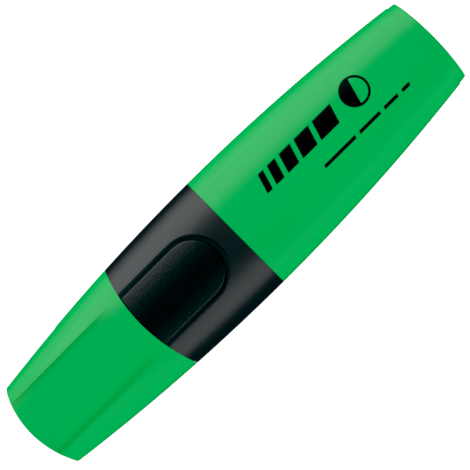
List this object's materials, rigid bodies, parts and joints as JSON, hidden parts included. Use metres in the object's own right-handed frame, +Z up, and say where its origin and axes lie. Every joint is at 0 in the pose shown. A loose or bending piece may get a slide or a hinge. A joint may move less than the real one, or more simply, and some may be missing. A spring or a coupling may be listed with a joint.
{
  "type": "capped flat highlighter",
  "caption": "Flat oval highlighter with a pull-off cap, black grip section, chisel nib, fibre reservoir and end plug.",
  "frame": {"origin": "on the resting plane, below the middle of the object's bounding box", "axes": "+X along the marker from the cap to the end plug, +Z up out of the upper broad face, +Y across the broad face"},
  "size_m": [0.118, 0.0288, 0.017],
  "materials": {
    "green_shell": "satin",
    "black_shell": "satin",
    "soft_pad": "satin",
    "ink_fibre": "matte",
    "clear_film": "gloss",
    "natural_plastic": "satin"
  },
  "bodies": {
    "marker": {"barrel": "green_shell", "end_plug": "green_shell", "grip_section": "black_shell", "thumb_pad_top": "soft_pad", "thumb_pad_bottom": "soft_pad", "nib_holder": "black_shell", "nib": "ink_fibre", "reservoir_core": "ink_fibre", "reservoir_film": "clear_film"},
    "cap": {"cap_shell": "green_shell", "cap_liner": "natural_plastic"}
  },
  "joints": [
    {"name": "cap_slide", "type": "slide", "parent": "marker", "child": "cap", "axis": [-1, 0, 0], "range_m": [0, 0.034]}
  ]
}
